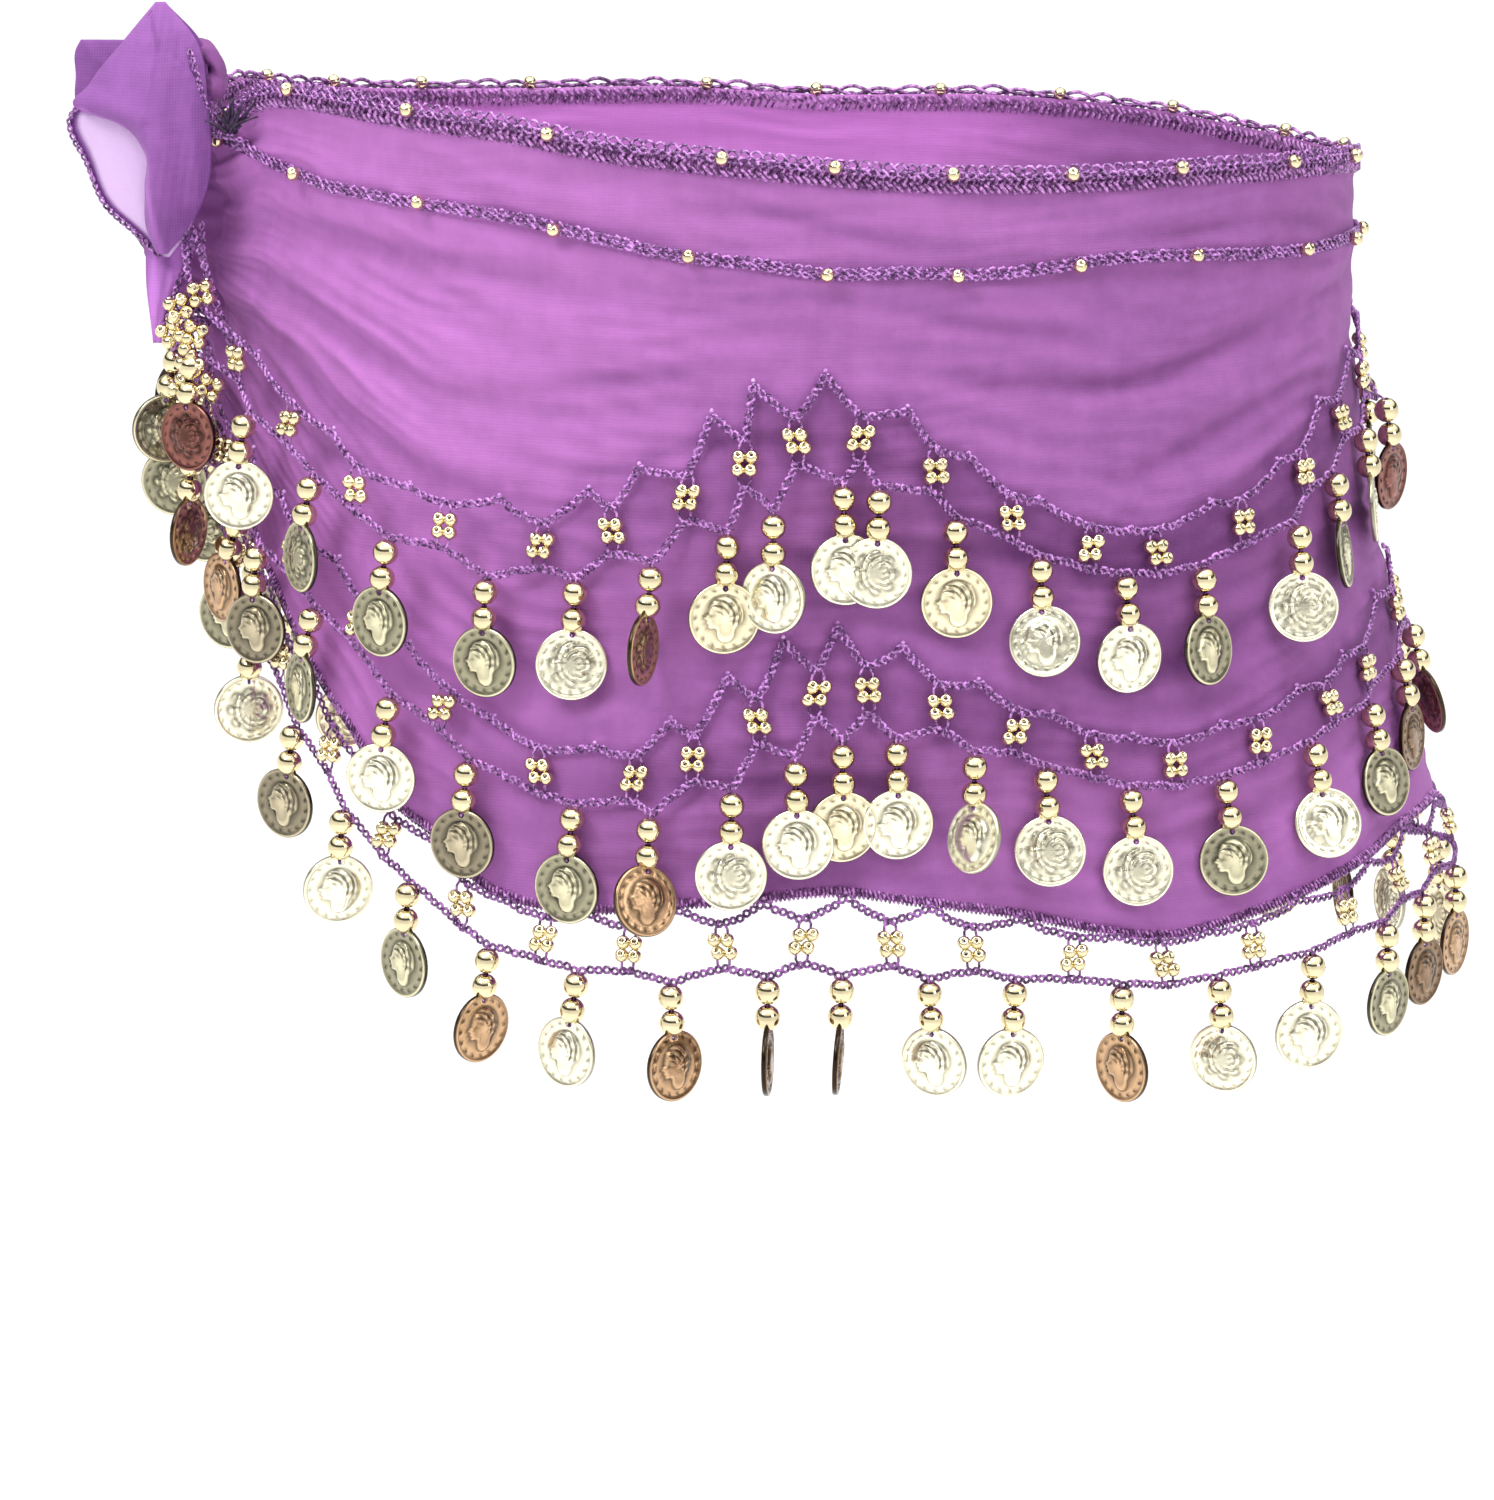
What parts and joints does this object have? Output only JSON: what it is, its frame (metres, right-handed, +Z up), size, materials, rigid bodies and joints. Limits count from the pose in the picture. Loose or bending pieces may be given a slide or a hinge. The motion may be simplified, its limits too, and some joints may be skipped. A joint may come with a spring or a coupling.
{
  "type": "belly dance hip scarf",
  "caption": "Worn wrap of sheer chiffon knotted at one hip, with beaded crochet chains and rows of hanging coins on net, open above and below.",
  "frame": {"origin": "middle of the waist opening, at the height of the waist edge opposite the knot", "axes": "+Z up along the wearer, +X across the hips away from the knot, and the front faces -Y"},
  "size_m": [0.4457, 0.3002, 0.3315],
  "materials": {
    "chiffon": "sheer crinkled gauze with a soft sheen",
    "crochet_yarn": "shiny twisted yarn",
    "coin_gold": "bright pale gold plating"
  },
  "bodies": {
    "root": {"cloth_front": "chiffon", "cloth_back": "chiffon", "rim_chain_front": "crochet_yarn", "rim_chain_back": "crochet_yarn", "second_chain_front": "crochet_yarn", "second_chain_back": "crochet_yarn", "upper_trim_front": "coin_gold", "upper_trim_back": "coin_gold", "middle_trim_front": "coin_gold", "middle_trim_back": "coin_gold", "hem_trim_front": "coin_gold", "hem_trim_back": "coin_gold", "knot": "chiffon", "small_loop": "chiffon", "tie_end_front": "chiffon", "tie_end_front_fold": "chiffon", "tie_end_back": "chiffon", "tie_end_hanging": "chiffon"}
  },
  "joints": []
}
